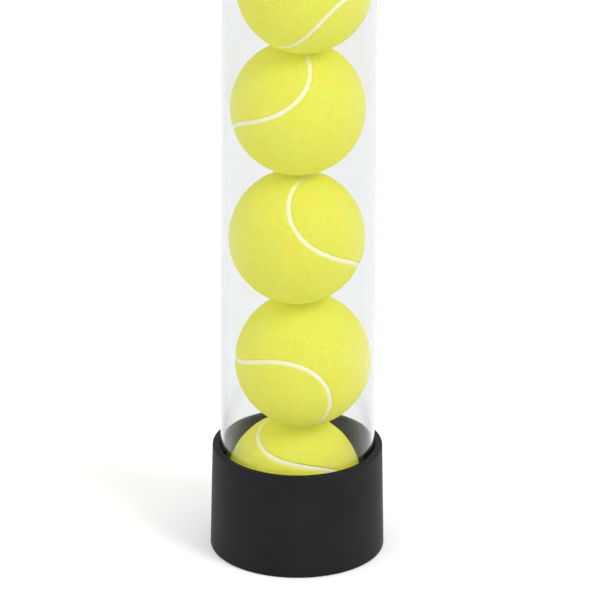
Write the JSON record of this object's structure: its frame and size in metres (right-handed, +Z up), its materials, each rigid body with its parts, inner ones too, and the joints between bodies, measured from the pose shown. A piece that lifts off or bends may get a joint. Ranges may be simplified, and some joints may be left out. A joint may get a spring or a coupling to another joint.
{
  "type": "tennis ball can",
  "caption": "Clear pick-up tube with a black mouth collar of sprung fingers, a lift-off cap and a stack of felt tennis balls that slides up inside.",
  "frame": {"origin": "centre of the base collar's bottom face, on the surface that the tube stands on", "axes": "+Z up along the tube; +X to the right and +Y away from a viewer who stands in front"},
  "size_m": [0.0856, 0.0856, 1.0842],
  "materials": {
    "clear_tube": "clear, smooth and glossy",
    "black_plastic": "smooth matte moulding",
    "black_elastomer": "matte soft moulding",
    "ball_rubber": "buffed dull rubber",
    "yellow_felt": "brushed woven felt"
  },
  "bodies": {
    "tube_assembly": {"tube": "clear_tube", "base_collar": "black_plastic", "grip_ring": "black_elastomer", "top_sleeve": "black_plastic"},
    "ball_01": {"ball_01_core": "ball_rubber", "ball_01_felt_a": "yellow_felt", "ball_01_felt_b": "yellow_felt"},
    "ball_02": {"ball_02_core": "ball_rubber", "ball_02_felt_a": "yellow_felt", "ball_02_felt_b": "yellow_felt"},
    "ball_03": {"ball_03_core": "ball_rubber", "ball_03_felt_a": "yellow_felt", "ball_03_felt_b": "yellow_felt"},
    "ball_04": {"ball_04_core": "ball_rubber", "ball_04_felt_a": "yellow_felt", "ball_04_felt_b": "yellow_felt"},
    "ball_05": {"ball_05_core": "ball_rubber", "ball_05_felt_a": "yellow_felt", "ball_05_felt_b": "yellow_felt"},
    "ball_06": {"ball_06_core": "ball_rubber", "ball_06_felt_a": "yellow_felt", "ball_06_felt_b": "yellow_felt"},
    "ball_07": {"ball_07_core": "ball_rubber", "ball_07_felt_a": "yellow_felt", "ball_07_felt_b": "yellow_felt"},
    "ball_08": {"ball_08_core": "ball_rubber", "ball_08_felt_a": "yellow_felt", "ball_08_felt_b": "yellow_felt"},
    "ball_09": {"ball_09_core": "ball_rubber", "ball_09_felt_a": "yellow_felt", "ball_09_felt_b": "yellow_felt"},
    "ball_10": {"ball_10_core": "ball_rubber", "ball_10_felt_a": "yellow_felt", "ball_10_felt_b": "yellow_felt"},
    "ball_11": {"ball_11_core": "ball_rubber", "ball_11_felt_a": "yellow_felt", "ball_11_felt_b": "yellow_felt"},
    "ball_12": {"ball_12_core": "ball_rubber", "ball_12_felt_a": "yellow_felt", "ball_12_felt_b": "yellow_felt"},
    "ball_13": {"ball_13_core": "ball_rubber", "ball_13_felt_a": "yellow_felt", "ball_13_felt_b": "yellow_felt"},
    "ball_14": {"ball_14_core": "ball_rubber", "ball_14_felt_a": "yellow_felt", "ball_14_felt_b": "yellow_felt"},
    "ball_15": {"ball_15_core": "ball_rubber", "ball_15_felt_a": "yellow_felt", "ball_15_felt_b": "yellow_felt"},
    "finger_1": {"finger_1": "black_elastomer"},
    "finger_2": {"finger_2": "black_elastomer"},
    "finger_3": {"finger_3": "black_elastomer"},
    "finger_4": {"finger_4": "black_elastomer"},
    "finger_5": {"finger_5": "black_elastomer"},
    "finger_6": {"finger_6": "black_elastomer"},
    "finger_7": {"finger_7": "black_elastomer"},
    "finger_8": {"finger_8": "black_elastomer"},
    "top_cap": {"top_cap": "black_plastic"}
  },
  "joints": [
    {"name": "ball_01_slide", "type": "slide", "parent": "tube_assembly", "child": "ball_01", "axis": [0, 0, 1], "range_m": [0, 0.05]},
    {"name": "ball_02_slide", "type": "slide", "parent": "tube_assembly", "child": "ball_02", "axis": [0, 0, 1], "range_m": [0, 0.05]},
    {"name": "ball_03_slide", "type": "slide", "parent": "tube_assembly", "child": "ball_03", "axis": [0, 0, 1], "range_m": [0, 0.05]},
    {"name": "ball_04_slide", "type": "slide", "parent": "tube_assembly", "child": "ball_04", "axis": [0, 0, 1], "range_m": [0, 0.05]},
    {"name": "ball_05_slide", "type": "slide", "parent": "tube_assembly", "child": "ball_05", "axis": [0, 0, 1], "range_m": [0, 0.05]},
    {"name": "ball_06_slide", "type": "slide", "parent": "tube_assembly", "child": "ball_06", "axis": [0, 0, 1], "range_m": [0, 0.05]},
    {"name": "ball_07_slide", "type": "slide", "parent": "tube_assembly", "child": "ball_07", "axis": [0, 0, 1], "range_m": [0, 0.05]},
    {"name": "ball_08_slide", "type": "slide", "parent": "tube_assembly", "child": "ball_08", "axis": [0, 0, 1], "range_m": [0, 0.05]},
    {"name": "ball_09_slide", "type": "slide", "parent": "tube_assembly", "child": "ball_09", "axis": [0, 0, 1], "range_m": [0, 0.05]},
    {"name": "ball_10_slide", "type": "slide", "parent": "tube_assembly", "child": "ball_10", "axis": [0, 0, 1], "range_m": [0, 0.05]},
    {"name": "ball_11_slide", "type": "slide", "parent": "tube_assembly", "child": "ball_11", "axis": [0, 0, 1], "range_m": [0, 0.05]},
    {"name": "ball_12_slide", "type": "slide", "parent": "tube_assembly", "child": "ball_12", "axis": [0, 0, 1], "range_m": [0, 0.05]},
    {"name": "ball_13_slide", "type": "slide", "parent": "tube_assembly", "child": "ball_13", "axis": [0, 0, 1], "range_m": [0, 0.05]},
    {"name": "ball_14_slide", "type": "slide", "parent": "tube_assembly", "child": "ball_14", "axis": [0, 0, 1], "range_m": [0, 0.05]},
    {"name": "ball_15_slide", "type": "slide", "parent": "tube_assembly", "child": "ball_15", "axis": [0, 0, 1], "range_m": [0, 0.05]},
    {"name": "finger_1_flex", "type": "hinge", "parent": "tube_assembly", "child": "finger_1", "pos_m": [0.03224, 0.01335, 0.0098], "axis": [-0.3827, 0.9239, 0], "range_deg": [0, 14]},
    {"name": "finger_2_flex", "type": "hinge", "parent": "tube_assembly", "child": "finger_2", "pos_m": [0.01335, 0.03224, 0.0098], "axis": [-0.9239, 0.3827, 0], "range_deg": [0, 14]},
    {"name": "finger_3_flex", "type": "hinge", "parent": "tube_assembly", "child": "finger_3", "pos_m": [-0.01335, 0.03224, 0.0098], "axis": [-0.9239, -0.3827, 0], "range_deg": [0, 14]},
    {"name": "finger_4_flex", "type": "hinge", "parent": "tube_assembly", "child": "finger_4", "pos_m": [-0.03224, 0.01335, 0.0098], "axis": [-0.3827, -0.9239, 0], "range_deg": [0, 14]},
    {"name": "finger_5_flex", "type": "hinge", "parent": "tube_assembly", "child": "finger_5", "pos_m": [-0.03224, -0.01335, 0.0098], "axis": [0.3827, -0.9239, 0], "range_deg": [0, 14]},
    {"name": "finger_6_flex", "type": "hinge", "parent": "tube_assembly", "child": "finger_6", "pos_m": [-0.01335, -0.03224, 0.0098], "axis": [0.9239, -0.3827, 0], "range_deg": [0, 14]},
    {"name": "finger_7_flex", "type": "hinge", "parent": "tube_assembly", "child": "finger_7", "pos_m": [0.01335, -0.03224, 0.0098], "axis": [0.9239, 0.3827, 0], "range_deg": [0, 14]},
    {"name": "finger_8_flex", "type": "hinge", "parent": "tube_assembly", "child": "finger_8", "pos_m": [0.03224, -0.01335, 0.0098], "axis": [0.3827, 0.9239, 0], "range_deg": [0, 14]},
    {"name": "cap_lift", "type": "slide", "parent": "tube_assembly", "child": "top_cap", "axis": [0, 0, 1], "range_m": [0, 0.03]}
  ],
  "couplings": [
    {"joint": "ball_02_slide", "follows": "ball_01_slide", "ratio": 1},
    {"joint": "ball_03_slide", "follows": "ball_01_slide", "ratio": 1},
    {"joint": "ball_04_slide", "follows": "ball_01_slide", "ratio": 1},
    {"joint": "ball_05_slide", "follows": "ball_01_slide", "ratio": 1},
    {"joint": "ball_06_slide", "follows": "ball_01_slide", "ratio": 1},
    {"joint": "ball_07_slide", "follows": "ball_01_slide", "ratio": 1},
    {"joint": "ball_08_slide", "follows": "ball_01_slide", "ratio": 1},
    {"joint": "ball_09_slide", "follows": "ball_01_slide", "ratio": 1},
    {"joint": "ball_10_slide", "follows": "ball_01_slide", "ratio": 1},
    {"joint": "ball_11_slide", "follows": "ball_01_slide", "ratio": 1},
    {"joint": "ball_12_slide", "follows": "ball_01_slide", "ratio": 1},
    {"joint": "ball_13_slide", "follows": "ball_01_slide", "ratio": 1},
    {"joint": "ball_14_slide", "follows": "ball_01_slide", "ratio": 1},
    {"joint": "ball_15_slide", "follows": "ball_01_slide", "ratio": 1},
    {"joint": "finger_1_flex", "follows": "ball_01_slide", "rad_per_m": 4.88},
    {"joint": "finger_2_flex", "follows": "ball_01_slide", "rad_per_m": 4.88},
    {"joint": "finger_3_flex", "follows": "ball_01_slide", "rad_per_m": 4.88},
    {"joint": "finger_4_flex", "follows": "ball_01_slide", "rad_per_m": 4.88},
    {"joint": "finger_5_flex", "follows": "ball_01_slide", "rad_per_m": 4.88},
    {"joint": "finger_6_flex", "follows": "ball_01_slide", "rad_per_m": 4.88},
    {"joint": "finger_7_flex", "follows": "ball_01_slide", "rad_per_m": 4.88},
    {"joint": "finger_8_flex", "follows": "ball_01_slide", "rad_per_m": 4.88}
  ]
}
